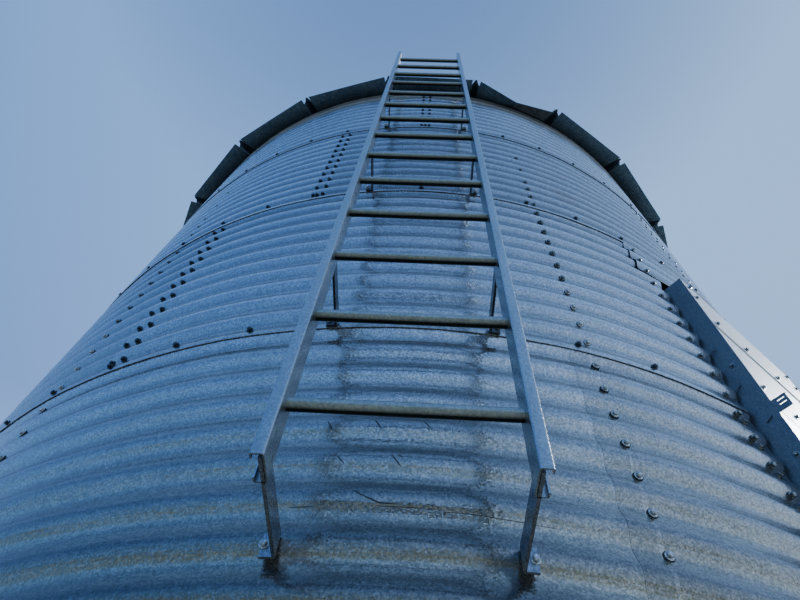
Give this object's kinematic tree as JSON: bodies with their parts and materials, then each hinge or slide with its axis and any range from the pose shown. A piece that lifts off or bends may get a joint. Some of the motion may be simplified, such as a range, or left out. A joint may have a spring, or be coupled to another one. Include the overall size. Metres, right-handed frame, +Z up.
{
  "type": "grain silo",
  "caption": "Round corrugated steel grain silo on a base angle, with a ribbed cone roof, a filling lid, a hinged access door and a fixed outside ladder.",
  "frame": {"origin": "on the silo's axis at floor level, under the centre of the wall", "axes": "+Z up; -Y is the front, out through the access door; +X to the right of someone who faces the door"},
  "size_m": [4.5428, 4.5528, 6.8262],
  "materials": {
    "wall_sheet": "corrugated sheet with a hot-dip galvanised spangle, dulled by weather",
    "roof_sheet": "plain galvanised sheet, weathered grey",
    "door_steel": "pressed galvanised sheet",
    "ladder_steel": "galvanised rolled channel and tube",
    "fittings": "zinc-plated fittings"
  },
  "bodies": {
    "silo": {"base_angle": "fittings", "wall_1_right": "wall_sheet", "wall_1_back": "wall_sheet", "wall_1_left": "wall_sheet", "wall_2_right": "wall_sheet", "wall_2_back": "wall_sheet", "wall_2_left": "wall_sheet", "wall_3_right": "wall_sheet", "wall_3_back": "wall_sheet", "wall_3_left": "wall_sheet", "wall_4_right": "wall_sheet", "wall_4_back": "wall_sheet", "wall_4_left": "wall_sheet", "wall_5_right": "wall_sheet", "wall_5_back": "wall_sheet", "wall_5_left": "wall_sheet", "wall_1_under_door": "wall_sheet", "wall_3_over_door": "wall_sheet", "roof_panels_01": "roof_sheet", "roof_panels_02": "roof_sheet", "roof_panels_03": "roof_sheet", "roof_panels_04": "roof_sheet", "roof_panels_05": "roof_sheet", "roof_panels_06": "roof_sheet", "roof_panels_07": "roof_sheet", "roof_panels_08": "roof_sheet", "roof_panels_09": "roof_sheet", "roof_panels_10": "roof_sheet", "roof_panels_11": "roof_sheet", "peak_collar": "roof_sheet", "fill_lid": "roof_sheet", "door_jamb_near": "door_steel", "door_jamb_far": "door_steel", "door_header": "door_steel", "door_transom": "door_steel", "door_sill": "door_steel", "hinge_bracket_lower": "fittings", "hinge_bracket_upper": "fittings", "ladder": "ladder_steel", "ladder_bracket_1_left": "ladder_steel", "ladder_bracket_1_right": "ladder_steel", "ladder_bracket_2_left": "ladder_steel", "ladder_bracket_2_right": "ladder_steel", "ladder_bracket_3_left": "ladder_steel", "ladder_bracket_3_right": "ladder_steel", "ladder_bracket_4_left": "ladder_steel", "ladder_bracket_4_right": "ladder_steel"},
    "door": {"door_leaf": "door_steel", "door_handle": "fittings", "hinge_strap_lower": "fittings", "hinge_strap_upper": "fittings"}
  },
  "joints": [
    {"name": "door_hinge", "type": "hinge", "parent": "silo", "child": "door", "pos_m": [0.385, -2.182, 1.435], "axis": [0, 0, 1], "range_deg": [0, 150]}
  ]
}
